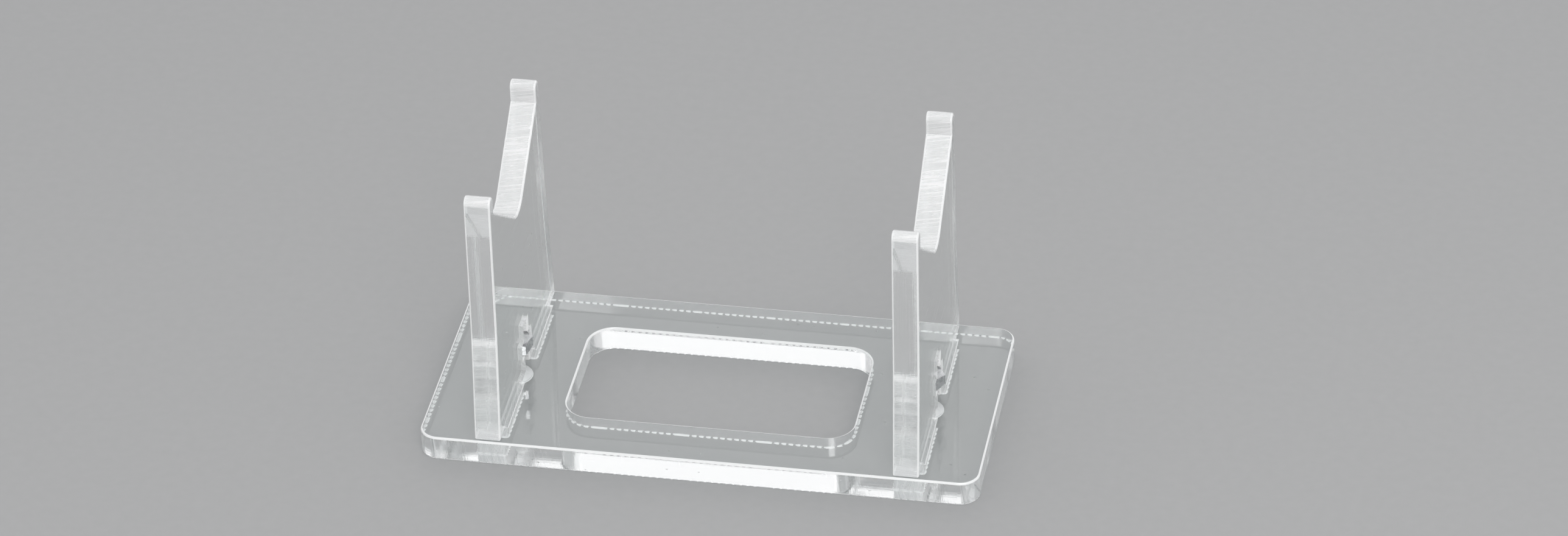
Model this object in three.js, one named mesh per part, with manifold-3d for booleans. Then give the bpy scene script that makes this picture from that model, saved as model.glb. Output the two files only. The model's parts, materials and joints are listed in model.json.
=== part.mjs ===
// Display stand with two notched uprights, cut from clear acrylic sheet.
// A base plate lies flat. Two uprights stand on it, each held by two tenons in mortises
// and by one countersunk screw that pulls on a nut in a cross-shaped slot in the upright's foot.
// Millimetres, +Z up. The origin is the middle of the base plate's underside.

import * as THREE from 'three';
import * as BufferGeometryUtils from 'three/addons/utils/BufferGeometryUtils.js';
import Module from 'manifold-3d';

const wasm = await Module();
wasm.setup();

// Sheet and fits
const SHEET_THICKNESS = 4;
const JOINT_CLEARANCE = 0.15;
const THREAD_CLEARANCE = 0.15;
const POCKET_CLEARANCE = 0.15;

// Base plate
const BASE_LENGTH = 85;
const BASE_DEPTH = 40;
const BASE_CORNER_RADIUS = 3;
const WINDOW_LENGTH = 44;
const WINDOW_DEPTH = 23;
const WINDOW_CORNER_RADIUS = 4;

// Uprights: the inset runs from the base plate's end to the middle of the upright's thickness,
// depths are measured front to back, and heights from the top of the base plate
const UPRIGHT_INSET = 10.8;
const UPRIGHT_HEIGHT = 41.5;
const FOOT_DEPTH = 38.8;
const WAIST_DEPTH = 35.2;
const WAIST_HEIGHT = 17.6;
const WAIST_BLEND = 5;
const TIP_DEPTH = 33.6;

// Cradle in the top of an upright, between two lips
const LIP_THICKNESS = 2.2;
const LIP_HEIGHT = 3.2;
const CRADLE_ANGLE = THREE.MathUtils.degToRad(37);
const CRADLE_ROOT_RADIUS = 4.5;

// Tenons under the upright's foot
const TENON_LENGTH = 11;
const TENON_CENTRE = 10.15;
const TENON_SETBACK = 0.1;

// Countersunk screw and hexagon nut
const SCREW_DIAMETER = 2.5;
const SCREW_LENGTH = 10;
const SCREW_TIP_CHAMFER = 0.3;
const HEAD_DIAMETER = 4.7;
const HEAD_RIM = 0.25;
const HEAD_CONE_ANGLE = THREE.MathUtils.degToRad(45);
const HEAD_SETBACK = 0.2;
const RECESS_SPAN = 2.6;
const RECESS_WIDTH = 0.55;
const RECESS_DEPTH = 1.1;
const NUT_WIDTH = 5;
const NUT_THICKNESS = 2;
const NUT_CHAMFER_ANGLE = THREE.MathUtils.degToRad(30);
const NUT_HEIGHT = 3.1;
const NUT_TURN_LEFT = THREE.MathUtils.degToRad(-10);
const NUT_TURN_RIGHT = THREE.MathUtils.degToRad(30);
const SLOT_HEIGHT = 8.3;

// Fineness of round forms
const FASTENER_SEGMENTS = 36;
const CORNER_SEGMENTS = 10;
const CUT_MARGIN = 1;

// Values that follow from the sizes above
const baseTop = SHEET_THICKNESS;
const headBottom = HEAD_SETBACK;
const screwRadius = SCREW_DIAMETER / 2;
const headRadius = HEAD_DIAMETER / 2;
const nutCornerRadius = NUT_WIDTH / Math.sqrt(3);
const nutBottom = baseTop + NUT_HEIGHT;
const uprightCentre = BASE_LENGTH / 2 - UPRIGHT_INSET;

const acrylic = new THREE.MeshStandardMaterial({ color: 0xe4eae8, roughness: 0.06, metalness: 0 });
const steel = new THREE.MeshStandardMaterial({ color: 0xb6b8ba, roughness: 0.28, metalness: 1 });

// Solids for booleans and back again
function solidOf(geometry) {
  const bare = geometry.clone();
  bare.deleteAttribute('normal');
  bare.deleteAttribute('uv');
  const merged = BufferGeometryUtils.mergeVertices(bare, 1e-5);
  const vertProperties = new Float32Array(merged.attributes.position.array);
  const triVerts = new Uint32Array(merged.index.array);
  return new wasm.Manifold(new wasm.Mesh({ numProp: 3, vertProperties, triVerts }));
}

function geometryOf(solid) {
  const mesh = solid.getMesh();
  const geometry = new THREE.BufferGeometry();
  geometry.setAttribute('position', new THREE.BufferAttribute(mesh.vertProperties, 3));
  geometry.setIndex(new THREE.BufferAttribute(mesh.triVerts, 1));
  return geometry;
}

function namedMesh(name, geometry, material) {
  const mesh = new THREE.Mesh(geometry, material);
  mesh.name = name;
  return mesh;
}

// A rectangle with round corners, centred on the origin
function traceRoundedRectangle(path, length, depth, radius) {
  const innerX = length / 2 - radius;
  const innerY = depth / 2 - radius;
  const quarter = Math.PI / 2;
  path.moveTo(-innerX, -depth / 2);
  path.absarc(innerX, -innerY, radius, -quarter, 0, false);
  path.absarc(innerX, innerY, radius, 0, quarter, false);
  path.absarc(-innerX, innerY, radius, quarter, 2 * quarter, false);
  path.absarc(-innerX, -innerY, radius, 2 * quarter, 3 * quarter, false);
  return path;
}

// A rectangle with sharp corners, centred on the origin
function traceRectangle(path, length, depth) {
  path.moveTo(-length / 2, -depth / 2);
  path.lineTo(length / 2, -depth / 2);
  path.lineTo(length / 2, depth / 2);
  path.lineTo(-length / 2, depth / 2);
  return path;
}

// A body turned about the vertical axis from radius and height pairs
function turned(pairs) {
  const profile = pairs.map(([radius, height]) => new THREE.Vector2(radius, height));
  const lathe = new THREE.LatheGeometry(profile, FASTENER_SEGMENTS);
  lathe.rotateX(Math.PI / 2);
  return solidOf(lathe);
}

// A flat outline given a height, standing on the level named
function extruded(outline, level, height) {
  const options = { depth: height, bevelEnabled: false, curveSegments: CORNER_SEGMENTS };
  const geometry = new THREE.ExtrudeGeometry(outline, options);
  geometry.translate(0, 0, level);
  return solidOf(geometry);
}

// The screw's outside grown by a gap: the same profile makes the screw and the hole for it
function screwSolid(gap, lowest, highest, tipChamfer) {
  const rimTop = headBottom + HEAD_RIM;
  const coneTop = rimTop + (headRadius - screwRadius) / Math.tan(HEAD_CONE_ANGLE);
  return turned([
    [0, lowest],
    [headRadius + gap, lowest],
    [headRadius + gap, rimTop],
    [screwRadius + gap, coneTop],
    [screwRadius + gap, highest - tipChamfer],
    [screwRadius + gap - tipChamfer, highest],
    [0, highest],
  ]);
}

// Base plate: window in the middle, four mortises and two countersunk holes
function makeBasePlate() {
  const outline = traceRoundedRectangle(new THREE.Shape(), BASE_LENGTH, BASE_DEPTH, BASE_CORNER_RADIUS);
  const window = traceRoundedRectangle(new THREE.Path(), WINDOW_LENGTH, WINDOW_DEPTH, WINDOW_CORNER_RADIUS);
  outline.holes.push(window);
  let plate = extruded(outline, 0, SHEET_THICKNESS);
  const mortiseLength = TENON_LENGTH + 2 * JOINT_CLEARANCE;
  const mortiseWidth = SHEET_THICKNESS + 2 * JOINT_CLEARANCE;
  const mortiseOutline = traceRectangle(new THREE.Shape(), mortiseWidth, mortiseLength);
  const mortise = extruded(mortiseOutline, -CUT_MARGIN, SHEET_THICKNESS + 2 * CUT_MARGIN);
  const screwHole = screwSolid(THREAD_CLEARANCE, -CUT_MARGIN, baseTop + CUT_MARGIN, 0);
  for (const side of [-1, 1]) {
    const centreX = side * uprightCentre;
    plate = plate.subtract(screwHole.translate([centreX, 0, 0]));
    plate = plate.subtract(mortise.translate([centreX, -TENON_CENTRE, 0]));
    plate = plate.subtract(mortise.translate([centreX, TENON_CENTRE, 0]));
  }
  return namedMesh('base_plate', geometryOf(plate), acrylic);
}

// Rear half of an upright's outline, from the top of the screw slot round to the bottom of the cradle
function uprightHalfOutline() {
  const halfFoot = FOOT_DEPTH / 2;
  const halfWaist = WAIST_DEPTH / 2;
  const halfTip = TIP_DEPTH / 2;
  const slotHalf = screwRadius + THREAD_CLEARANCE;
  const pocketHalf = nutCornerRadius + POCKET_CLEARANCE;
  const pocketTop = nutBottom + NUT_THICKNESS + 2 * POCKET_CLEARANCE;
  const slotTop = baseTop + SLOT_HEIGHT;
  const tenonInner = TENON_CENTRE - TENON_LENGTH / 2;
  const tenonOuter = TENON_CENTRE + TENON_LENGTH / 2;
  const waist = baseTop + WAIST_HEIGHT;
  const top = baseTop + UPRIGHT_HEIGHT;
  const lipRadius = LIP_THICKNESS / 2;
  const lipCentre = top - lipRadius;
  const lipInner = halfTip - LIP_THICKNESS;
  const lipRoot = top - LIP_HEIGHT;

  // The cradle's floor falls from the lip's root and meets its mirror image in a round root
  const sharpRoot = lipRoot - lipInner * Math.tan(CRADLE_ANGLE);
  const rootCentre = sharpRoot + CRADLE_ROOT_RADIUS / Math.cos(CRADLE_ANGLE);

  // Points on the flared side, just below and just above the waist
  const lowerFlare = (halfFoot - halfWaist) / WAIST_HEIGHT;
  const upperFlare = (halfWaist - halfTip) / (lipCentre - waist);

  const path = new THREE.Path();
  path.moveTo(0, slotTop);
  path.lineTo(slotHalf, slotTop);
  path.lineTo(slotHalf, pocketTop);
  path.lineTo(pocketHalf, pocketTop);
  path.lineTo(pocketHalf, nutBottom);
  path.lineTo(slotHalf, nutBottom);
  path.lineTo(slotHalf, baseTop);
  path.lineTo(tenonInner, baseTop);
  path.lineTo(tenonInner, TENON_SETBACK);
  path.lineTo(tenonOuter, TENON_SETBACK);
  path.lineTo(tenonOuter, baseTop);
  path.lineTo(halfFoot, baseTop);
  path.lineTo(halfWaist + lowerFlare * WAIST_BLEND, waist - WAIST_BLEND);
  path.quadraticCurveTo(halfWaist, waist, halfWaist - upperFlare * WAIST_BLEND, waist + WAIST_BLEND);
  path.lineTo(halfTip, lipCentre);
  path.absarc(halfTip - lipRadius, lipCentre, lipRadius, 0, Math.PI, false);
  path.lineTo(lipInner, lipRoot);
  path.absarc(0, rootCentre, CRADLE_ROOT_RADIUS, CRADLE_ANGLE - Math.PI / 2, -Math.PI / 2, true);
  return path.getPoints(CORNER_SEGMENTS);
}

// Upright: the whole outline is the half and its mirror image, cut through the sheet's thickness
function makeUpright(name, centreX) {
  const half = uprightHalfOutline();
  const mirrored = half.slice(1, -1).reverse().map((point) => new THREE.Vector2(-point.x, point.y));
  const outline = new THREE.Shape(half.concat(mirrored));
  const geometry = new THREE.ExtrudeGeometry(outline, { depth: SHEET_THICKNESS, bevelEnabled: false });
  const alongY = new THREE.Vector3(0, 1, 0);
  const alongZ = new THREE.Vector3(0, 0, 1);
  const alongX = new THREE.Vector3(1, 0, 0);
  geometry.applyMatrix4(new THREE.Matrix4().makeBasis(alongY, alongZ, alongX));
  geometry.translate(centreX - SHEET_THICKNESS / 2, 0, 0);
  return namedMesh(name, geometryOf(solidOf(geometry)), acrylic);
}

// Screw: countersunk head with a cross recess, and a plain shank as wide as its thread
function makeScrew(name, centreX) {
  let screw = screwSolid(0, headBottom, headBottom + SCREW_LENGTH, SCREW_TIP_CHAMFER);
  for (const [length, width] of [[RECESS_SPAN, RECESS_WIDTH], [RECESS_WIDTH, RECESS_SPAN]]) {
    const bar = traceRectangle(new THREE.Shape(), length, width);
    screw = screw.subtract(extruded(bar, headBottom - CUT_MARGIN, RECESS_DEPTH + CUT_MARGIN));
  }
  const mesh = namedMesh(name, geometryOf(screw), steel);
  mesh.position.set(centreX, 0, 0);
  return mesh;
}

// Nut: a hexagonal prism whose corners are turned off at both ends, with a bore for the screw
function makeNut(name, centreX, turn) {
  const hexagon = new THREE.CylinderGeometry(nutCornerRadius, nutCornerRadius, NUT_THICKNESS, 6);
  hexagon.rotateX(Math.PI / 2);
  hexagon.translate(0, 0, NUT_THICKNESS / 2);
  const faceRadius = NUT_WIDTH / 2;
  const chamfer = (nutCornerRadius - faceRadius) * Math.tan(NUT_CHAMFER_ANGLE);
  const turnedOff = turned([
    [0, 0],
    [faceRadius, 0],
    [nutCornerRadius, chamfer],
    [nutCornerRadius + CUT_MARGIN, NUT_THICKNESS / 2],
    [nutCornerRadius, NUT_THICKNESS - chamfer],
    [faceRadius, NUT_THICKNESS],
    [0, NUT_THICKNESS],
  ]);
  const boreRadius = screwRadius + THREAD_CLEARANCE;
  const bore = turned([
    [0, -CUT_MARGIN],
    [boreRadius, -CUT_MARGIN],
    [boreRadius, NUT_THICKNESS + CUT_MARGIN],
    [0, NUT_THICKNESS + CUT_MARGIN],
  ]);
  const nut = solidOf(hexagon).intersect(turnedOff).subtract(bore);
  const mesh = namedMesh(name, geometryOf(nut), steel);
  mesh.position.set(centreX, 0, nutBottom);
  mesh.rotation.z = turn;
  return mesh;
}

const stand = new THREE.Group();
stand.add(makeBasePlate());
for (const [side, sign, turn] of [['left', -1, NUT_TURN_LEFT], ['right', 1, NUT_TURN_RIGHT]]) {
  const centreX = sign * uprightCentre;
  stand.add(makeUpright(`${side}_upright`, centreX));
  stand.add(makeScrew(`${side}_screw`, centreX));
  stand.add(makeNut(`${side}_nut`, centreX, turn));
}

export default stand;
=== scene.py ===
# %% [markdown]
# # A clear acrylic display stand
#
# The stand is a kit of seven pieces: a base plate, two uprights, and a screw and a nut to hold
# each upright. The plate and the uprights are cut by laser from one 4 mm sheet of clear
# acrylic. The construction frame already holds every piece at its real size, so this lesson
# only gives each piece the finish of the real thing.

import json
import math

import bpy
import numpy as np
from mathutils import Matrix, Vector
from mathutils.geometry import tessellate_polygon

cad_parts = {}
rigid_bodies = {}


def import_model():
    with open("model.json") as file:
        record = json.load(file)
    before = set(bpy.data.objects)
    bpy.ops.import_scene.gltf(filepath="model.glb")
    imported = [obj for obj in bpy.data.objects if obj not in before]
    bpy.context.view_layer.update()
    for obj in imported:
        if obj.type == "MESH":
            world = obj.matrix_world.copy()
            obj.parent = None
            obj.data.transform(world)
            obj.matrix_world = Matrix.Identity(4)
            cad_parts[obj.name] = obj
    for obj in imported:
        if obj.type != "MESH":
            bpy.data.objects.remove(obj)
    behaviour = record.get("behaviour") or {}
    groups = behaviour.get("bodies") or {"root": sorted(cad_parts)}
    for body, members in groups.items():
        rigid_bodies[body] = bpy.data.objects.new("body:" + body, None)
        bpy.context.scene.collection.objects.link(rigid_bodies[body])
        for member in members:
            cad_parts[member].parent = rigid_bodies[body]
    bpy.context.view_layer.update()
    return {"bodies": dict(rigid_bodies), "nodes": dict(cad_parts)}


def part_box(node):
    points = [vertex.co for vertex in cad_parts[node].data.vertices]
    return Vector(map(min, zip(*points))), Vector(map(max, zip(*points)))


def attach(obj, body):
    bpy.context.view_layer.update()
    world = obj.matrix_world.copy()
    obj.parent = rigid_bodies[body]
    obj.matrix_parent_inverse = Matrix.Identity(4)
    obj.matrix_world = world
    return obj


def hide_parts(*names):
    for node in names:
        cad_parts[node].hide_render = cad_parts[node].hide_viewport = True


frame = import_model()
BODY = list(frame["bodies"])[0]
print("nodes:", sorted(frame["nodes"]), "body:", BODY)

# %% [markdown]
# ## Sizes
#
# All sizes below are in millimetres, as a drawing would give them, and they repeat the ones
# that the frame was built with. Blender works in metres, so points are multiplied by `MM`
# when a mesh is made. The frame's own box of the base plate is printed as a check.

# %% Sizes of the sheet and its cuts
MM = 0.001
SHEET = 4.0
BASE_LENGTH, BASE_DEPTH, BASE_CORNER = 85.0, 40.0, 3.0
WINDOW_LENGTH, WINDOW_DEPTH, WINDOW_CORNER = 44.0, 23.0, 4.0
UPRIGHT_CENTRE = 31.7
UPRIGHT_TOP = SHEET + 41.5
FOOT_HALF, WAIST_HALF, TIP_HALF = 19.4, 17.6, 16.8
WAIST_LEVEL, WAIST_BLEND = SHEET + 17.6, 5.0
LIP_THICKNESS, LIP_HEIGHT = 2.2, 3.2
CRADLE_SLOPE, CRADLE_ROOT = math.radians(37), 4.5
TENON_CENTRE, TENON_LENGTH, TENON_BOTTOM = 10.15, 11.0, 0.1
JOINT_GAP, SEAT_GAP = 0.15, 0.03
FOOT = SHEET + SEAT_GAP
SLOT_HALF, SLOT_TOP = 1.4, SHEET + 8.3
RIM = 0.28
base_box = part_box("base_plate")
print("base plate in the frame, mm:", [round(v / MM, 2) for c in base_box for v in c])

# %% Numbers of the acrylic's six finishes
LASER_CUT, FROSTED, MELTED, DRILLED, POLISHED, GLOWING = 0, 1, 2, 3, 4, 5

# %% Sizes of the screw and the nut
SCREW_RADIUS, SCREW_BOTTOM, SCREW_TOP = 1.25, 0.2, 10.2
HEAD_RADIUS, HEAD_RIM, SCREW_GAP = 2.35, 0.25, 0.15
THREAD_PITCH, THREAD_DEPTH = 0.45, 0.27
RECESS_REACH, RECESS_HALF, RECESS_DEPTH = 1.3, 0.28, 1.1
NUT_FLATS, NUT_THICKNESS, NUT_BOTTOM = 5.0, 2.0, 7.1
NUT_TURNS = {"left": math.radians(-10), "right": math.radians(30)}
POCKET_SIDE_GAP, POCKET_TOP_GAP = 0.15, 0.3
POCKET_HALF = NUT_FLATS / math.sqrt(3) + POCKET_SIDE_GAP
POCKET_TOP = NUT_BOTTOM + NUT_THICKNESS + POCKET_TOP_GAP
print("nut pocket, mm:", round(2 * POCKET_HALF, 2), "wide,", NUT_BOTTOM, "to", POCKET_TOP)

# %% [markdown]
# ## The camera
#
# The photograph was taken with a long lens from the front, a little to the right, looking
# down at about 36 degrees. The place below was found by fitting a pinhole camera to the
# corners of the base and the uprights. The photograph is a crop of a taller frame, so the
# camera is simply tipped up until the crop's middle is on its axis, and needs no shift.

# %% Place the camera
PHOTO_WIDTH, PHOTO_HEIGHT = 2576, 880
FOCAL_PIXELS, AXIS_ROW = 9684.26, 668.13
YAW, ELEVATION, ROLL, DISTANCE = 0.1993, 0.6353, -0.0333, 0.8944
TARGET = Vector((0.00968, 0.00044, 0.0))

reach = math.cos(ELEVATION)
back = Vector((math.sin(YAW) * reach, -math.cos(YAW) * reach, math.sin(ELEVATION)))
level = Vector((math.cos(YAW), math.sin(YAW), 0))
rise = back.cross(level)
right = level * math.cos(ROLL) + rise * math.sin(ROLL)
up = rise * math.cos(ROLL) - level * math.sin(ROLL)
tip = math.atan((AXIS_ROW - PHOTO_HEIGHT / 2) / FOCAL_PIXELS)
new_back = back * math.cos(tip) - up * math.sin(tip)
new_up = up * math.cos(tip) + back * math.sin(tip)

camera = bpy.data.objects.new("camera", bpy.data.cameras.new("camera"))
bpy.context.scene.collection.objects.link(camera)
camera.data.sensor_width = 36.0
camera.data.lens = FOCAL_PIXELS / math.cos(tip) / PHOTO_WIDTH * camera.data.sensor_width
camera.data.clip_start, camera.data.clip_end = 0.05, 50.0
turn = Matrix((right, new_up, new_back)).transposed().to_4x4()
camera.matrix_world = Matrix.Translation(TARGET + back * DISTANCE) @ turn
bpy.context.scene.camera = camera
bpy.context.scene.view_settings.view_transform = "Standard"
print("lens, mm:", round(camera.data.lens, 1), "tipped up by", round(math.degrees(tip), 2), "degrees")

# %% [markdown]
# ## From arrays to a mesh
#
# Every new piece is worked out as whole numpy arrays. One helper puts such arrays into a
# mesh: points, faces, which material each face wears, and a flat map of the surface in
# millimetres, which the finishes use where a pattern has to follow a cut.

# %% Helper: arrays into a mesh object
SHARP_ANGLE = math.radians(24)


def make_piece(name, points, faces, wear, flat_map, materials, slot, *nodes):
    """A mesh object from points in mm, faces as index lists, a material number for each face
    and a flat map with one (along, across) pair for each face corner. It rides on the body.
    Polished faces are shaded flat, so that light goes straight through them."""
    mesh = bpy.data.meshes.new(name)
    mesh.from_pydata((points * MM).tolist(), [], faces)
    mesh.polygons.foreach_set("material_index", wear)
    layer = mesh.uv_layers.new(name="cut")
    layer.data.foreach_set("uv", np.asarray(flat_map, np.float32).ravel())
    mesh.shade_smooth()
    mesh.set_sharp_from_angle(angle=SHARP_ANGLE)
    mesh.polygons.foreach_set("use_smooth", np.asarray(wear) != POLISHED)
    for material in materials:
        mesh.materials.append(material)
    mesh.validate()
    piece = bpy.data.objects.new(name, mesh)
    bpy.context.scene.collection.objects.link(piece)
    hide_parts(*nodes)
    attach(piece, BODY)
    print(name, "has", len(mesh.vertices), "points and", len(mesh.polygons), "faces")
    return piece


# %% [markdown]
# ## Outlines
#
# A laser cuts closed outlines, so each sheet starts as a few closed loops of points. A loop
# runs with the material on its left: anticlockwise round the outside, clockwise round a hole.

# %% Helpers: arcs and rounded rectangles
def arc(centre, radius, start, end, steps):
    """Points centre + radius * (cos t, sin t), where t goes evenly from start to end in degrees."""
    t = np.radians(np.linspace(start, end, steps + 1))
    return np.array(centre) + radius * np.column_stack([np.cos(t), np.sin(t)])


def rounded_rectangle(length, depth, radius, steps=16):
    """Four quarter circles round the origin, joined by the straight edges between them."""
    x, y = length / 2 - radius, depth / 2 - radius
    corners = [((x, -y), -90), ((x, y), 0), ((-x, y), 90), ((-x, -y), 180)]
    return np.vstack([arc(c, radius, a, a + 90, steps) for c, a in corners])


def rectangle(length, depth):
    """The four corners of a rectangle round the origin, anticlockwise."""
    return np.array([[-1, -1], [1, -1], [1, 1], [-1, 1]]) * [length / 2, depth / 2]


# %% Helper: the upright's outline
def upright_outline(steps=12):
    """Half of the outline from the top of the screw slot round to the bottom of the cradle,
    then the same half mirrored. Straight stretches are their end points, and the waist, the
    lip's round top and the cradle's root are arcs."""
    lip_centre = UPRIGHT_TOP - LIP_THICKNESS / 2
    lip_inner, lip_root = TIP_HALF - LIP_THICKNESS, UPRIGHT_TOP - LIP_HEIGHT
    sharp_root = lip_root - lip_inner * math.tan(CRADLE_SLOPE)
    root_centre = sharp_root + CRADLE_ROOT / math.cos(CRADLE_SLOPE)
    inner, outer = TENON_CENTRE - TENON_LENGTH / 2, TENON_CENTRE + TENON_LENGTH / 2
    slot_and_foot = [
        (0, SLOT_TOP), (SLOT_HALF, SLOT_TOP), (SLOT_HALF, POCKET_TOP), (POCKET_HALF, POCKET_TOP),
        (POCKET_HALF, NUT_BOTTOM), (SLOT_HALF, NUT_BOTTOM), (SLOT_HALF, FOOT), (inner, FOOT),
        (inner, TENON_BOTTOM), (outer, TENON_BOTTOM), (outer, FOOT), (FOOT_HALF, FOOT),
    ]
    lower = (FOOT_HALF - WAIST_HALF) / (WAIST_LEVEL - SHEET)
    upper = (WAIST_HALF - TIP_HALF) / (lip_centre - WAIST_LEVEL)
    t = np.linspace(0, 1, steps + 1)[:, None]
    below = np.array([WAIST_HALF + WAIST_BLEND * lower, WAIST_LEVEL - WAIST_BLEND])
    above = np.array([WAIST_HALF - WAIST_BLEND * upper, WAIST_LEVEL + WAIST_BLEND])
    waist = (1 - t) ** 2 * below + 2 * t * (1 - t) * [WAIST_HALF, WAIST_LEVEL] + t**2 * above
    lip = arc((TIP_HALF - LIP_THICKNESS / 2, lip_centre), LIP_THICKNESS / 2, 0, 180, 16)
    root = arc((0, root_centre), CRADLE_ROOT, math.degrees(CRADLE_SLOPE) - 90, -90, steps)
    half = np.vstack([slot_and_foot, waist, lip, [(lip_inner, lip_root)], root])
    finish = [FROSTED] * (len(slot_and_foot) - 1) + [LASER_CUT] * (len(waist) + 1)
    finish += [GLOWING] * (len(lip) + len(root))
    return np.vstack([half, half[-2:0:-1] * [-1, 1]]), np.array(finish + finish[::-1])


outline, outline_finish = upright_outline()
print("upright outline:", len(outline), "points, top at", outline[:, 1].max(), "mm")

# %% [markdown]
# ## From an outline to a cut sheet
#
# The wall of a cut is the loop swept through the sheet's thickness. The laser melts the rim a
# little, so at both faces the wall rolls over in a tiny quarter circle. These rims are only
# about 0.3 mm across, but they catch the light as the thin bright lines that make a clear
# sheet readable. Where the laser leaves the sheet, the rim is uneven: it zigzags and breaks up
# into beads. The two faces are then filled between the loops.
#
# An extruded curve with a Bevel modifier could make such a wall, but its rim would be even all
# the way. Here each point of the rim is worked out on its own, so it can also be uneven.

# %% Helper: a loop with many points
def dense(loop, finish, spacing=0.36):
    """Each edge split into equal steps, none shorter than the spacing: its start plus a share of
    the edge. The spacing is wider than a rim, so that no rim folds over at a sharp corner.
    The finish is one number, or one for each edge, and comes back as one for each new edge."""
    ahead = np.roll(loop, -1, axis=0) - loop
    steps = np.maximum(1, np.linalg.norm(ahead, axis=1) // spacing).astype(int)
    edge = np.repeat(np.arange(len(loop)), steps)
    share = (np.arange(len(edge)) - np.repeat(np.cumsum(steps) - steps, steps)) / steps[edge]
    return loop[edge] + ahead[edge] * share[:, None], np.broadcast_to(finish, len(loop))[edge]


# %% Helper: scallops in the cradle
SCALLOP_PITCH, SCALLOP_DEPTH = 1.75, 0.08


def scalloped(loop):
    """On slanted lines the laser leaves shallow scallops. Each cradle point goes down by the
    depth times |sin(pi s / pitch)|, where s is the way along the slope from its middle."""
    along = loop[:, 0] / math.cos(CRADLE_SLOPE)
    inside = (np.abs(loop[:, 0]) < TIP_HALF - LIP_THICKNESS) & (loop[:, 1] > WAIST_LEVEL)
    drop = SCALLOP_DEPTH * np.abs(np.sin(np.pi * along / SCALLOP_PITCH)) * inside
    return loop - np.column_stack([0 * drop, drop])


# %% Helper: outward mitres of a loop
def mitres(loop):
    """At each point, the step out of the material that moves both neighbouring edges by one:
    the sum of their two outward normals over one plus the cosine between them."""
    ahead = np.roll(loop, -1, axis=0) - loop
    normal = np.column_stack([ahead[:, 1], -ahead[:, 0]]) / np.linalg.norm(ahead, axis=1)[:, None]
    before = np.roll(normal, 1, axis=0)
    return (normal + before) / (1 + np.sum(normal * before, axis=1))[:, None]


# %% Helper: sections through the thickness
ZIGZAG, ZIGZAG_REACH, ZIGZAG_LEAST = 0.03, 0.8, 0.3


def straight_section(steps=4, hold=0.04):
    """(inset, height) pairs from one face to the other: a quarter circle, straight, and again.
    A row close to each rim keeps the smooth shading of the rim off the straight part, and one
    row lies where the zigzag of the side that the laser leaves by has died away."""
    a = np.radians(np.linspace(0, 90, steps + 1))
    low = np.column_stack([RIM * (1 - np.sin(a)), RIM * (1 - np.cos(a))])
    middle = [(0, RIM + hold), (0, ZIGZAG_REACH), (0, SHEET - RIM - hold)]
    return np.vstack([low, middle, (low * [1, -1] + [0, SHEET])[::-1]])


def countersunk_section():
    """The same for a screw hole: a short straight rim for the head, the cone, then the shank."""
    cone = HEAD_RADIUS - SCREW_RADIUS
    rim_top = SCREW_BOTTOM + HEAD_RIM
    return np.array([
        (cone + RIM / 2, 0), (cone, RIM / 2), (cone, rim_top), (0, rim_top + cone),
        (0, SHEET - RIM / 2), (RIM / 2, SHEET),
    ])


# %% Helper: a sheet from its loops
BEAD_PITCH, BEAD_NECK = 1.05, 0.5
rng = np.random.default_rng(7)


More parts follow.
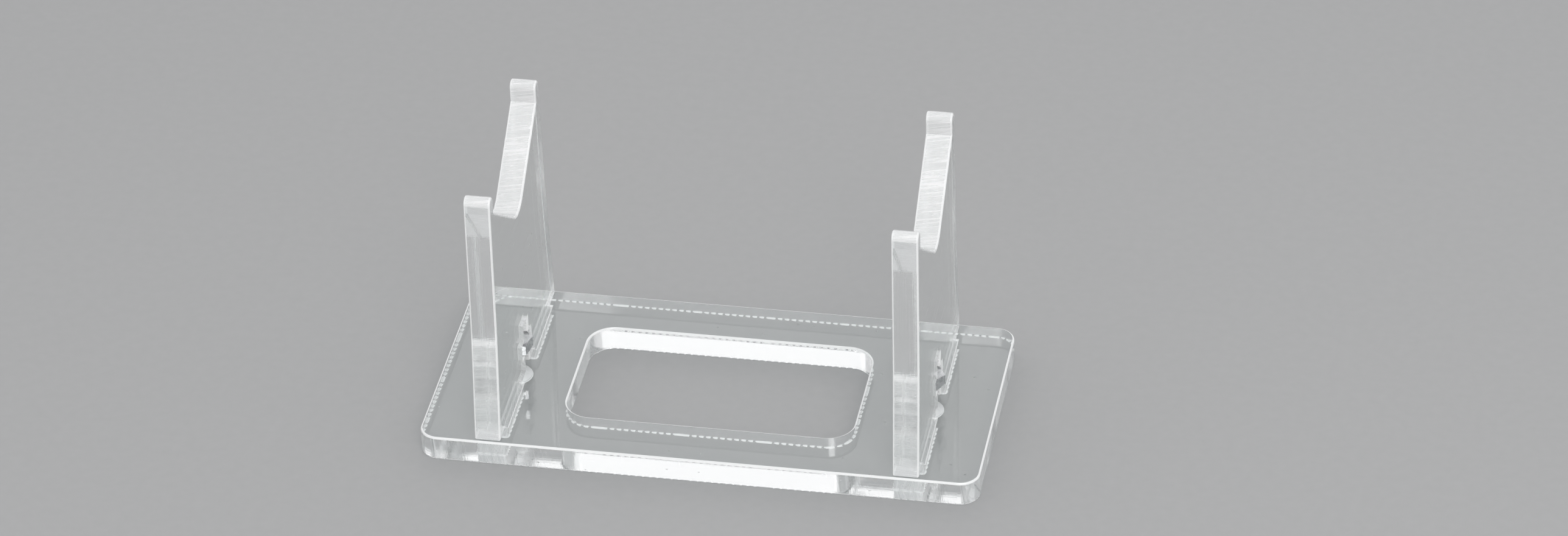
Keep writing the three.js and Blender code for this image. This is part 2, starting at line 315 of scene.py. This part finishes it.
def cut_sheet(loops, bead_share):
    """Points (across the sheet, and height through it) and faces of a sheet. A wall point is
    the loop's point minus its mitre times the section's inset, at the section's height. Where
    the laser leaves the sheet, every second point of a cut wall is drawn in by a little more,
    by a random share of the zigzag's depth, and the melted rim comes in beads that fill the
    given share of the way, with a rim half as wide between them.
    The faces are triangles between the first rows and between the last rows of all walls."""
    points, faces, wear, flat = [], [], [], []
    first_rows, last_rows, start = [], [], 0
    for loop, finish, section in loops:
        rows, count = len(section), len(loop)
        edge_lengths = np.linalg.norm(np.roll(loop, -1, axis=0) - loop, axis=1)
        along = np.concatenate([[0], np.cumsum(edge_lengths)])
        by_laser = (finish != DRILLED)[None]
        entry_side = (section[:, 1] > SHEET / 2)[:, None] | ~by_laser
        bead = (along[:-1] / BEAD_PITCH % 1 < bead_share)[None] | entry_side
        fade = np.clip(1 - section[:, 1] / ZIGZAG_REACH, 0, 1)[:, None] * by_laser
        every_second = np.arange(count) % 2 * rng.uniform(ZIGZAG_LEAST, 1, count)
        drawn_in = ZIGZAG * fade * every_second[None]
        inset = section[:, 0][:, None] * np.where(bead, 1, BEAD_NECK) + drawn_in
        rim = loop[None] - mitres(loop)[None] * inset[:, :, None]
        height = np.broadcast_to(section[:, 1][:, None, None], (rows, count, 1))
        points.append(np.concatenate([rim, height], axis=2).reshape(-1, 3))
        ids = start + np.arange(rows * count).reshape(rows, count)
        beside = np.roll(ids, -1, axis=1)
        quads = np.stack([ids[:-1], beside[:-1], beside[1:], ids[1:]], axis=-1)
        faces += quads.reshape(-1, 4).tolist()
        rolled = (section[:-1, 0] != section[1:, 0])[:, None] & by_laser & bead[:-1]
        wear += np.where(rolled, MELTED, finish[None]).ravel().tolist()
        grid = (rows - 1, count)
        a, b = (np.broadcast_to(s, grid) for s in (along[:-1], along[1:]))
        low, high = (np.broadcast_to(h[:, None], grid) for h in (section[:-1, 1], section[1:, 1]))
        pairs = [np.stack(p, axis=-1) for p in ((a, low), (b, low), (b, high), (a, high))]
        flat.append(np.stack(pairs, axis=2).reshape(-1, 2))
        first_rows.append(ids[0])
        last_rows.append(ids[-1])
        start += rows * count
    points = np.vstack(points)
    for rows, facing in ((first_rows, -1), (last_rows, 1)):
        ids = np.concatenate(rows)
        fill = np.array(tessellate_polygon([(points[row] * [1, 1, 0]).tolist() for row in rows]))
        corner = points[ids[fill]][:, :, :2]
        one, two = corner[:, 1] - corner[:, 0], corner[:, 2] - corner[:, 0]
        turned = (one[:, 0] * two[:, 1] - one[:, 1] * two[:, 0]) * facing < 0
        fill[turned] = fill[turned][:, ::-1]
        faces += ids[fill].tolist()
        wear += [POLISHED] * len(fill)
        flat.append(points[ids[fill]][:, :, :2].reshape(-1, 2))
    return points, faces, wear, np.vstack(flat)


# %% [markdown]
# ## Node groups for the acrylic's finish
#
# Two node groups turn a perfect solid into a real cut sheet. One makes the ribs and fine
# layers that the laser leaves on every cut. The other makes what handling leaves on a face:
# specks of dust, faint smears and hairline scratches. Both put out only masks and heights, so
# each material decides for itself how strongly they show. Pictures of real cuts could be laid
# over the walls instead, but noise never repeats and fits a cut of any length.

# %% Helpers: build nodes
def new_group(name, inputs, outputs):
    """An empty shader node group with named inputs, given as (name, type, value), and outputs."""
    group = bpy.data.node_groups.new(name, "ShaderNodeTree")
    for label, kind, value in inputs:
        socket = group.interface.new_socket(name=label, in_out="INPUT", socket_type=kind)
        if value is not None:
            socket.default_value = value
    for label in outputs:
        group.interface.new_socket(name=label, in_out="OUTPUT", socket_type="NodeSocketFloat")
    return group, group.nodes.new("NodeGroupInput"), group.nodes.new("NodeGroupOutput")


def add(tree, kind, settings=None, **inputs):
    """One node in a tree. Settings are its own properties. Each input is a value or a socket,
    given by the input's name or, as i0, i1 and so on, by its number."""
    node = tree.nodes.new(kind)
    for key, value in (settings or {}).items():
        setattr(node, key, value)
    for key, value in inputs.items():
        numbered = key[0] == "i" and key[1:].isdigit()
        socket = node.inputs[int(key[1:]) if numbered else key.replace("_", " ")]
        if isinstance(value, bpy.types.NodeSocket):
            tree.links.new(value, socket)
        else:
            socket.default_value = value
    return node


def maths(tree, operation, *values, clamp=False):
    """The output of a Math node. Its inputs are the values or sockets given."""
    inputs = {f"i{number}": value for number, value in enumerate(values)}
    settings = {"operation": operation, "use_clamp": clamp}
    return add(tree, "ShaderNodeMath", settings, **inputs).outputs[0]


def ramp(tree, value, low, high, to_low=0.0, to_high=1.0):
    """A value taken from low..high to to_low..to_high with soft ends."""
    settings = {"interpolation_type": "SMOOTHSTEP"}
    ends = {"i1": low, "i2": high, "i3": to_low, "i4": to_high}
    return add(tree, "ShaderNodeMapRange", settings, i0=value, **ends).outputs[0]


def streaky_noise(tree, x, y, across, down, detail, roughness):
    """Flat noise at (x times across, y times down). The smaller of the two numbers gives the
    direction in which the noise is drawn out into streaks."""
    spot = add(tree, "ShaderNodeCombineXYZ", X=maths(tree, "MULTIPLY", x, across),
               Y=maths(tree, "MULTIPLY", y, down))
    return add(tree, "ShaderNodeTexNoise", {"noise_dimensions": "2D"}, Vector=spot.outputs[0],
               Scale=1.0, Detail=detail, Roughness=roughness).outputs[0]


# %% Group: ribs that the laser leaves
rib_inputs = [
    ("Map", "NodeSocketVector", None), ("Coarse", "NodeSocketFloat", 0.2),
    ("Layers", "NodeSocketFloat", 0.5),
]
group, entry, out = new_group("laser_ribs", rib_inputs, ["Height", "Frost"])
split = add(group, "ShaderNodeSeparateXYZ", i0=entry.outputs["Map"])
along, height = split.outputs["X"], split.outputs["Y"]
slanted = maths(group, "MULTIPLY_ADD", height, 0.18, along)
fine_noise = streaky_noise(group, slanted, height, across=5.0, down=0.12, detail=3.0,
                           roughness=0.6)
broad_noise = streaky_noise(group, slanted, height, across=0.9, down=0.3, detail=2.0,
                            roughness=0.5)
layer_noise = streaky_noise(group, along, height, across=0.06, down=3.5, detail=2.0,
                            roughness=0.6)
coarse_noise = streaky_noise(group, slanted, height, across=1.7, down=0.05, detail=1.0,
                             roughness=0.4)
off_middle = maths(group, "ABSOLUTE", maths(group, "SUBTRACT", coarse_noise, 0.5))
ridges = maths(group, "MULTIPLY", ramp(group, off_middle, 0.09, 0.0), entry.outputs["Coarse"])
exit_side = ramp(group, height, 1.6, 0.0)
strength = maths(group, "MULTIPLY_ADD", exit_side, 0.9, 0.5)
ribs = maths(group, "MULTIPLY", fine_noise, strength)
layers = maths(group, "MULTIPLY", layer_noise, entry.outputs["Layers"])
relief = maths(group, "ADD", maths(group, "ADD", ribs, layers), ridges)
group.links.new(relief, out.inputs["Height"])
patch = ramp(group, broad_noise, 0.42, 0.66)
line = ramp(group, fine_noise, 0.5, 0.75)
streaks = maths(group, "MULTIPLY", maths(group, "ADD", patch, exit_side, clamp=True), line)
lines = maths(group, "MULTIPLY", ramp(group, layer_noise, 0.52, 0.68), entry.outputs["Layers"])
frost = maths(group, "ADD", maths(group, "ADD", streaks, lines), ridges, clamp=True)
group.links.new(frost, out.inputs["Frost"])
ribs_group = group

# %% Group: dust, smears and hairlines on a handled face
place_input = [("Place", "NodeSocketVector", None)]
group, entry, out = new_group("handled_face", place_input, ["Dust", "Smears", "Height"])
place = entry.outputs["Place"]
cells = add(group, "ShaderNodeTexVoronoi", {"feature": "F1"}, Vector=place, Scale=420.0,
            Randomness=1.0)
cell_number = add(group, "ShaderNodeSeparateXYZ", i0=cells.outputs["Color"]).outputs["X"]
speck = ramp(group, cells.outputs["Distance"], 0.11, 0.05)
dust = maths(group, "MULTIPLY", speck, ramp(group, cell_number, 0.72, 0.8))
group.links.new(dust, out.inputs["Dust"])
wiped = add(group, "ShaderNodeMapping", Vector=place, Rotation=(0.3, 0.2, 0.5),
            Scale=(1.0, 0.25, 0.4))
cloud = add(group, "ShaderNodeTexNoise", Vector=wiped.outputs[0], Scale=130.0, Detail=4.0,
            Roughness=0.65)
group.links.new(ramp(group, cloud.outputs[0], 0.5, 0.75), out.inputs["Smears"])
drawn_out = add(group, "ShaderNodeMapping", Vector=place, Rotation=(0.0, 0.0, 0.6),
                Scale=(1.0, 0.03, 1.0))
hair = add(group, "ShaderNodeTexNoise", Vector=drawn_out.outputs[0], Scale=1500.0, Detail=1.0)
hairs = ramp(group, hair.outputs[0], 0.68, 0.72)
waves = add(group, "ShaderNodeTexNoise", Vector=place, Scale=45.0, Detail=1.0)
group.links.new(maths(group, "SUBTRACT", waves.outputs[0], hairs), out.inputs["Height"])
handled_group = group

# %% [markdown]
# ## The six acrylic materials
#
# All six are the same clear shader with the refractive index of acrylic, 1.49, and differ in
# their surface. A polished face is rough only under dust and smears. A laser-cut wall is clear
# with faint ribs. Where the laser went slowly, the cut is frosted. A rim has melted into a
# whitish bead, and a drilled hole is cloudy. A Glass node would do for a clean face, but the
# Principled node can also let only a share of the light through and scatter the rest in all
# directions, which is where the white comes from.
#
# The lips and the cradle are frosted and lie open to the light from above. On a real sheet
# this light is scattered into it, so that such a cut glows when it is seen from inside, as
# under the caps of the front edges. The Principled node scatters only what comes from the
# viewer's side, so the sixth material adds a Translucent node on the inner side.
#
# For lamp rays, and for light on its way to a matte surface, the sheet turns to a plain tint.
# So light reaches the floor behind it, and the shadow stays light, as it does behind a real
# clear sheet.

# %% Helper: clear acrylic with a light shadow
def clear_acrylic(name, shade, build, glow=0.0):
    """A Principled node with plain transmission, mixed with Transparent for lamp rays and for
    light on its way to a matte surface. The function build gets the tree and the Principled
    node and gives them the finish. Glow is the share that is Translucent on the inner side."""
    material = bpy.data.materials.new(name)
    material.use_nodes = True
    tree = material.node_tree
    tree.nodes.clear()
    body = add(tree, "ShaderNodeBsdfPrincipled", Base_Color=(0.98, 0.985, 0.985, 1), IOR=1.49,
               Transmission_Weight=1.0)
    build(tree, body)
    passing = add(tree, "ShaderNodeBsdfTransparent", Color=(*shade, 1)).outputs[0]
    path = add(tree, "ShaderNodeLightPath")
    shader = body.outputs[0]
    if glow:
        lit = add(tree, "ShaderNodeBsdfTranslucent", Color=(0.96, 0.97, 0.97, 1)).outputs[0]
        inner_side = add(tree, "ShaderNodeNewGeometry").outputs["Backfacing"]
        share = maths(tree, "MULTIPLY", inner_side, glow)
        shader = add(tree, "ShaderNodeMixShader", i0=share, i1=shader, i2=lit).outputs[0]
    for ray in ("Is Shadow Ray", "Is Diffuse Ray"):
        mixed = add(tree, "ShaderNodeMixShader", i0=path.outputs[ray], i1=shader, i2=passing)
        shader = mixed.outputs[0]
    add(tree, "ShaderNodeOutputMaterial", Surface=shader)
    return material


def tinted(tree, factor, clean, marked):
    """The mix of two colours by a factor that changes over the surface."""
    mixed = add(tree, "ShaderNodeMix", {"data_type": "RGBA"}, Factor=factor)
    mixed.inputs["A"].default_value = (*clean, 1)
    mixed.inputs["B"].default_value = (*marked, 1)
    return mixed.outputs["Result"]


# %% Material: polished face
def polished(tree, body):
    """Dust and smears raise the roughness, and hairlines and slow waves move the normal."""
    marks = add(tree, "ShaderNodeGroup", {"node_tree": handled_group},
                i0=add(tree, "ShaderNodeTexCoord").outputs["Object"])
    smeared = maths(tree, "MULTIPLY_ADD", marks.outputs["Smears"], 0.03, 0.004)
    rough = maths(tree, "MULTIPLY_ADD", marks.outputs["Dust"], 0.55, smeared)
    tree.links.new(rough, body.inputs["Roughness"])
    tint = tinted(tree, marks.outputs["Dust"], (0.972, 0.985, 0.98), (0.86, 0.86, 0.85))
    tree.links.new(tint, body.inputs["Base Color"])
    bump = add(tree, "ShaderNodeBump", Strength=0.06, Distance=0.00002,
               Height=marks.outputs["Height"])
    tree.links.new(bump.outputs[0], body.inputs["Normal"])


face_clear = clear_acrylic("acrylic_polished_face", (0.9, 0.91, 0.91), polished)


# %% Material: laser-cut wall
def ribbed(tree, body, clear=0.92, smooth=0.02, frost=0.25, relief=0.3, coarse=0.2, layers=0.7,
           valley=0.98):
    """Ribs follow the cut's own flat map. Frosted patches are rougher and whiter than valleys.
    Clear is the share of light that goes through. The roughness runs from smooth by as much as
    frost. Relief is the ribs' strength, coarse and layers are the shares of the wide ribs and
    of the fine lines along the cut, and valley is the brightness between the ribs."""
    body.inputs["Transmission Weight"].default_value = clear
    flat = add(tree, "ShaderNodeUVMap", {"uv_map": "cut"}).outputs[0]
    ribs = add(tree, "ShaderNodeGroup", {"node_tree": ribs_group}, i0=flat, Coarse=coarse,
               Layers=layers)
    rough = maths(tree, "MULTIPLY_ADD", ribs.outputs["Frost"], frost, smooth)
    tree.links.new(rough, body.inputs["Roughness"])
    greenish = (valley - 0.012, valley, valley - 0.005)
    tint = tinted(tree, ribs.outputs["Frost"], greenish, (1.0, 1.0, 1.0))
    tree.links.new(tint, body.inputs["Base Color"])
    bump = add(tree, "ShaderNodeBump", Strength=relief, Distance=0.00003,
               Height=ribs.outputs["Height"])
    tree.links.new(bump.outputs[0], body.inputs["Normal"])


wall_clear = clear_acrylic("acrylic_laser_cut_wall", (0.74, 0.76, 0.77), ribbed)


# %% Materials: frosted cut and glowing cut
FROSTED_SHADE = (0.88, 0.89, 0.89)


def frosted(tree, body):
    """The ribs where the laser went slowly: in tight slots, round the lips, in the cradle."""
    ribbed(tree, body, clear=0.3, smooth=0.12, frost=0.3, relief=1.0, coarse=0.9, layers=0.0,
           valley=0.9)


wall_frosted = clear_acrylic("acrylic_frosted_cut", FROSTED_SHADE, frosted)
wall_glowing = clear_acrylic("acrylic_glowing_cut", FROSTED_SHADE, frosted, glow=0.6)


# %% Material: melted rim
def melted(tree, body):
    """At its rims a cut has melted and set again as a whitish, glossy bead."""
    ribbed(tree, body, clear=0.15, smooth=0.1, frost=0.15, relief=0.4, coarse=0.3, layers=0.0,
           valley=0.98)


rim_melted = clear_acrylic("acrylic_melted_rim", (0.85, 0.86, 0.86), melted)


# %% Material: drilled countersink
def drilled(tree, body):
    """A drill leaves a matte, cloudy wall, whose roughness and relief come from one noise."""
    body.inputs["Transmission Weight"].default_value = 0.15
    place = add(tree, "ShaderNodeTexCoord").outputs["Object"]
    cloud = add(tree, "ShaderNodeTexNoise", Vector=place, Scale=2500.0, Detail=2.0).outputs[0]
    tree.links.new(ramp(tree, cloud, 0.3, 0.7, 0.45, 0.65), body.inputs["Roughness"])
    bump = add(tree, "ShaderNodeBump", Strength=0.4, Distance=0.00002, Height=cloud)
    tree.links.new(bump.outputs[0], body.inputs["Normal"])


hole_cloudy = clear_acrylic("acrylic_drilled_hole", (0.88, 0.88, 0.88), drilled)
ACRYLIC = [wall_clear, wall_frosted, rim_melted, hole_cloudy, face_clear, wall_glowing]
print("acrylic materials:", [m.name for m in ACRYLIC])

# %% [markdown]
# ## The base plate
#
# One outer loop, one window, four mortises and two countersunk holes. The height through the
# sheet is simply Z here.

# %% Base plate
plate = dense(rounded_rectangle(BASE_LENGTH, BASE_DEPTH, BASE_CORNER), LASER_CUT)
window = dense(rounded_rectangle(WINDOW_LENGTH, WINDOW_DEPTH, WINDOW_CORNER)[::-1], LASER_CUT)
mortise = rectangle(SHEET + 2 * JOINT_GAP, TENON_LENGTH + 2 * JOINT_GAP)[::-1]
screw_hole = arc((0, 0), SCREW_RADIUS + SCREW_GAP, 360, 0, 48)[:-1]
loops = [(*plate, straight_section()), (*window, straight_section())]
for x in (-UPRIGHT_CENTRE, UPRIGHT_CENTRE):
    for y in (-TENON_CENTRE, TENON_CENTRE):
        loops.append((*dense(mortise + [x, y], FROSTED), straight_section()))
    loops.append((screw_hole + [x, 0], np.full(len(screw_hole), DRILLED), countersunk_section()))
points, faces, wear, flat = cut_sheet(loops, bead_share=0.7)
make_piece("base_plate_sheet", points, faces, wear, flat, ACRYLIC, "clear_acrylic", "base_plate")

# %% [markdown]
# ## The uprights
#
# Each is one loop. The sheet stands on edge with the side where the laser came out towards
# +X. So the outline's two directions are -Y and Z, and the height through the sheet is -X.
# The foot stops a few hundredths above the base, as two hard sheets never touch all over.

# %% Uprights
for side, x in (("left", -UPRIGHT_CENTRE), ("right", UPRIGHT_CENTRE)):
    loop, finish = dense(outline, outline_finish)
    loops = [(scalloped(loop), finish, straight_section())]
    points, faces, wear, flat = cut_sheet(loops, bead_share=1)
    standing = np.column_stack([x + SHEET / 2 - points[:, 2], -points[:, 0], points[:, 1]])
    make_piece(f"{side}_upright_sheet", standing, faces, wear, flat, ACRYLIC, "clear_acrylic",
               f"{side}_upright")

# %% [markdown]
# ## Turned steel
#
# A screw is a surface of two parameters: the angle round the axis, and the way along its
# section from the middle of the head to the tip. The thread is the same surface with its
# radius pushed in and out by a wave that climbs one pitch for each turn. A Screw modifier
# could wind the thread too, but here it also fades in after the neck and tapers at the tip.
#
# The cross in the head has leaning walls, and its arms run out in slopes. The head's edges
# are broken by a few hundredths of a millimetre.

# %% Helper: a closed surface round an axis
def round_surface(radius, height, closed):
    """Points (r cos a, r sin a, z) for grids r and z with one row for each step of the section
    and one column for each angle a. Rows join into a ring if closed, or else each end is
    closed by a fan round a point on the axis."""
    rows, count = radius.shape
    a = np.linspace(0, 2 * np.pi, count, endpoint=False)[None]
    points = np.stack([radius * np.cos(a), radius * np.sin(a), height], axis=-1).reshape(-1, 3)
    ids = np.arange(rows * count).reshape(rows, count)
    lower, upper = (ids, np.roll(ids, -1, axis=0)) if closed else (ids[:-1], ids[1:])
    faces = np.stack([lower, np.roll(lower, -1, axis=1), np.roll(upper, -1, axis=1), upper], axis=-1)
    faces = faces.reshape(-1, 4).tolist()
    if not closed:
        ends = [[0, 0, height[0].mean()], [0, 0, height[-1].mean()]]
        first, last = rows * count, rows * count + 1
        faces += np.column_stack([np.full(count, first), np.roll(ids[0], -1), ids[0]]).tolist()
        faces += np.column_stack([np.full(count, last), ids[-1], np.roll(ids[-1], -1)]).tolist()
        points = np.vstack([points, ends])
    return points, faces


# %% Helper: the thread's wave
CREST_SHARE = 0.125


def thread_depth(height, count):
    """How far a thread lies below its crest, from 0 to 1: in each pitch a flat crest, a slope,
    a flat root as wide as the crest, and a slope back. The phase is the height in pitches
    minus the angle in turns."""
    turn = np.arange(count)[None] / count
    phase = (height / THREAD_PITCH - turn) % 1.0
    return np.clip((np.abs(phase - 0.5) * 2 - CREST_SHARE) / (1 - 2 * CREST_SHARE), 0, 1)


# %% Small sizes of the screw
SCREW_COLUMNS, FACE_ROWS, SHANK_ROWS = 64, 34, 300
FACE_START, FACE_EDGE = 0.04, 0.05
RECESS_FLARE, RECESS_WALL, RECESS_END = 0.1, 0.12, 0.35
EDGE_BREAK, EDGE_ROUND = 0.03, 0.02
NECK_DEPTH, NECK_FILLET = 0.08, 0.1
SHANK_START, SHANK_STOP = 0.16, 0.02
THREAD_START, THREAD_RUN_IN = 0.4, 0.6
TIP_TAPER, TIP_SHARE = 0.3, 0.3

# %% Screws
wide = np.ones((1, SCREW_COLUMNS))
a = np.linspace(0, 2 * np.pi, SCREW_COLUMNS, endpoint=False)[None]
r_face = np.linspace(FACE_START, HEAD_RADIUS - FACE_EDGE, FACE_ROWS)[:, None] * wide
off_arm = r_face * np.minimum(abs(np.sin(a)), abs(np.cos(a)))
on_arm = r_face * np.maximum(abs(np.sin(a)), abs(np.cos(a)))
width_left = np.clip((RECESS_HALF + RECESS_FLARE - off_arm) / RECESS_WALL, 0, 1)
length_left = np.clip((RECESS_REACH - on_arm) / RECESS_END, 0, 1)
z_face = SCREW_BOTTOM + RECESS_DEPTH * width_left * length_left

rim_top = SCREW_BOTTOM + HEAD_RIM
cone_end = rim_top + HEAD_RADIUS - SCREW_RADIUS
rim = np.array([
    (HEAD_RADIUS, SCREW_BOTTOM + FACE_EDGE),
    (HEAD_RADIUS, rim_top - EDGE_BREAK),
    (HEAD_RADIUS - EDGE_ROUND, rim_top + EDGE_ROUND),
    (SCREW_RADIUS + EDGE_BREAK, cone_end - EDGE_BREAK),
    (SCREW_RADIUS - NECK_DEPTH, cone_end + NECK_FILLET),
])
shank = np.linspace(cone_end + SHANK_START, SCREW_TOP - SHANK_STOP, SHANK_ROWS)
z_shank = shank[:, None] * wide
cut_in = np.clip((z_shank - cone_end - THREAD_START) / THREAD_RUN_IN, 0, 1)
cut_out = np.clip((SCREW_TOP - z_shank) / TIP_TAPER, 0, 1)
neck = SCREW_RADIUS - NECK_DEPTH * (1 - cut_in)
r_shank = neck - THREAD_DEPTH * thread_depth(z_shank, SCREW_COLUMNS) * cut_in
r_shank = np.minimum(r_shank, SCREW_RADIUS - TIP_TAPER * (1 - cut_out))
radius = np.vstack([r_face, rim[:, :1] * wide, r_shank, r_shank[-1:] * TIP_SHARE])
height = np.vstack([z_face, rim[:, 1:] * wide, z_shank, SCREW_TOP * wide])
screw_points, screw_faces = round_surface(radius, height, closed=False)
print("screw runs from", round(height.min(), 2), "to", round(height.max(), 2), "mm")

# %% [markdown]
# ## The nut
#
# The nut is a ring: the section runs along the bottom face, up the six-sided wall, back along
# the top face and down the threaded bore. A lathe turns the corners off at 30 degrees, and
# where that cone meets the flats it leaves the curved edges that every nut shows. A Boolean
# of a prism and a cone would give the same edges, but the grid also carries the thread.

# %% Small sizes of the nut
NUT_COLUMNS, BORE_ROWS = 96, 70
FACE_SHARE, CORNER_CONE = 0.97, math.radians(30)
MOUTH_WIDTH, MOUTH_DEPTH = 0.12, 0.14
BORE_PLAY, BORE_THREAD = 0.04, 0.24

# %% Nuts
a = np.linspace(0, 2 * np.pi, NUT_COLUMNS, endpoint=False)
off_flat = (a + np.pi / 6) % (np.pi / 3) - np.pi / 6
hexagon = NUT_FLATS / 2 / np.cos(off_flat)
face_radius = NUT_FLATS / 2 * FACE_SHARE
lost = (hexagon - face_radius) * math.tan(CORNER_CONE)
one = np.ones(NUT_COLUMNS)
mouth, face, top = (SCREW_RADIUS + MOUTH_WIDTH) * one, face_radius * one, NUT_THICKNESS * one
z_bore = np.linspace(NUT_THICKNESS - MOUTH_DEPTH, MOUTH_DEPTH, BORE_ROWS)[:, None] * one
depth = thread_depth(z_bore + NUT_BOTTOM, NUT_COLUMNS)
r_bore = SCREW_RADIUS + BORE_PLAY - BORE_THREAD * depth
radius = np.vstack([mouth, face, hexagon, hexagon, face, mouth, r_bore])
height = np.vstack([0 * one, 0 * one, lost, NUT_THICKNESS - lost, top, top, z_bore])
nut_points, nut_faces = round_surface(radius, height, closed=True)
print("nut is", round(2 * hexagon.max(), 2), "mm across corners")

# %% [markdown]
# ## The steel's finish
#
# The hardware is bright zinc-plated steel. Plating gives a soft, slightly cloudy shine, with
# fine turning marks under it. Noise in Object coordinates varies the roughness and the tone,
# and a second, finer noise makes the marks.

# %% Material: plated steel
steel = bpy.data.materials.new("plated_steel")
steel.use_nodes = True
tree = steel.node_tree
body = tree.nodes["Principled BSDF"]
body.inputs["Metallic"].default_value = 1.0
place = add(tree, "ShaderNodeTexCoord").outputs["Object"]
cloud = add(tree, "ShaderNodeTexNoise", Vector=place, Scale=900.0, Detail=3.0,
            Roughness=0.6).outputs[0]
tone = tinted(tree, ramp(tree, cloud, 0.3, 0.7), (0.62, 0.63, 0.64), (0.80, 0.81, 0.82))
tree.links.new(tone, body.inputs["Base Color"])
tree.links.new(ramp(tree, cloud, 0.3, 0.75, 0.2, 0.38), body.inputs["Roughness"])
rings = add(tree, "ShaderNodeMapping", Vector=place, Scale=(300.0, 300.0, 9000.0))
marks = add(tree, "ShaderNodeTexNoise", Vector=rings.outputs[0], Scale=1.0, Detail=2.0)
bump = add(tree, "ShaderNodeBump", Strength=0.15, Distance=0.00001, Height=marks.outputs[0])
tree.links.new(bump.outputs[0], body.inputs["Normal"])

# %% Place the screws and nuts
for side, x in (("left", -UPRIGHT_CENTRE), ("right", UPRIGHT_CENTRE)):
    c, s = math.cos(NUT_TURNS[side]), math.sin(NUT_TURNS[side])
    spun = nut_points @ np.array([[c, s, 0], [-s, c, 0], [0, 0, 1]])
    seated = spun + [0, 0, NUT_BOTTOM + SEAT_GAP]
    for label, points, faces in (("screw", screw_points, screw_faces), ("nut", seated, nut_faces)):
        corners = sum(len(f) for f in faces)
        make_piece(f"{side}_{label}_steel", points + [x, 0, 0], faces, [0] * len(faces),
                   np.zeros((corners, 2)), [steel], "steel_hardware", f"{side}_{label}")

# %% [markdown]
# ## Floor, world and lamps
#
# The floor is plain and pale. It lies a hair below the stand, because a real plate never
# touches what it lies on all over, and that thin layer of air is what makes the plate's
# underside reflect. The light comes from a pale world that is brightest at the horizon, from a
# soft lamp in front and from a small one overhead. A wide and weak panel stands behind. The
# sheet turns what comes from there by total reflection, so that its cut edges show the horizon
# and the panel as bright strips. Places and sizes are in metres.

# %% Floor
floor_material = bpy.data.materials.new("pale_floor")
floor_material.use_nodes = True
tree = floor_material.node_tree
body = tree.nodes["Principled BSDF"]
body.inputs["Roughness"].default_value = 0.75
place = add(tree, "ShaderNodeTexCoord").outputs["Object"]
grain = add(tree, "ShaderNodeTexNoise", Vector=place, Scale=600.0, Detail=3.0).outputs[0]
tone = tinted(tree, grain, (0.41, 0.412, 0.412), (0.44, 0.442, 0.442))
tree.links.new(tone, body.inputs["Base Color"])
FLOOR_SIDE, FLOOR_LEVEL = 6.0, -0.00005
mesh = bpy.data.meshes.new("floor")
corners = np.column_stack([rectangle(FLOOR_SIDE, FLOOR_SIDE), np.full(4, FLOOR_LEVEL)])
mesh.from_pydata(corners.tolist(), [], [[0, 1, 2, 3]])
mesh.materials.append(floor_material)
floor = bpy.data.objects.new("floor", mesh)
bpy.context.scene.collection.objects.link(floor)

# %% World
world = bpy.data.worlds.new("studio")
bpy.context.scene.world = world
world.use_nodes = True
tree = world.node_tree
direction = add(tree, "ShaderNodeTexCoord").outputs["Generated"]
upwards = add(tree, "ShaderNodeSeparateXYZ", i0=direction).outputs["Z"]
sky = tinted(tree, ramp(tree, upwards, 0.5, 0.95), (0.80, 0.80, 0.81), (0.30, 0.30, 0.31))
tree.links.new(sky, tree.nodes["Background"].inputs["Color"])


# %% Lamps
def soft_lamp(name, place, width, height, watts):
    """A rectangular area lamp at place, turned to face the middle of the stand's underside."""
    lamp = bpy.data.lights.new(name, "AREA")
    lamp.shape, lamp.size, lamp.size_y, lamp.energy = "RECTANGLE", width, height, watts
    holder = bpy.data.objects.new(name, lamp)
    holder.location = place
    holder.rotation_mode = "QUATERNION"
    holder.rotation_quaternion = (-Vector(place)).to_track_quat("-Z", "Y")
    bpy.context.scene.collection.objects.link(holder)


soft_lamp("back_panel", (-0.17, 0.85, 0.68), width=1.1, height=0.6, watts=0.75)
soft_lamp("top_soft", (0.05, -0.1, 0.9), width=0.14, height=0.12, watts=1.2)
soft_lamp("front_soft", (0.4, -0.95, 0.78), width=0.45, height=0.4, watts=6.0)

# %% [markdown]
# ## Light paths
#
# A ray that enters a clear sheet is reflected many times between its faces before it leaves
# by a cut edge, so the paths have to be long. Caustics are left off: lamp rays already pass
# the sheet as a tint, and counting them twice would only add noise.

# %% Path lengths
cycles = bpy.context.scene.cycles
cycles.max_bounces = 32
cycles.transmission_bounces = 32
cycles.glossy_bounces = 16
cycles.transparent_max_bounces = 32
cycles.caustics_reflective = False
cycles.caustics_refractive = False
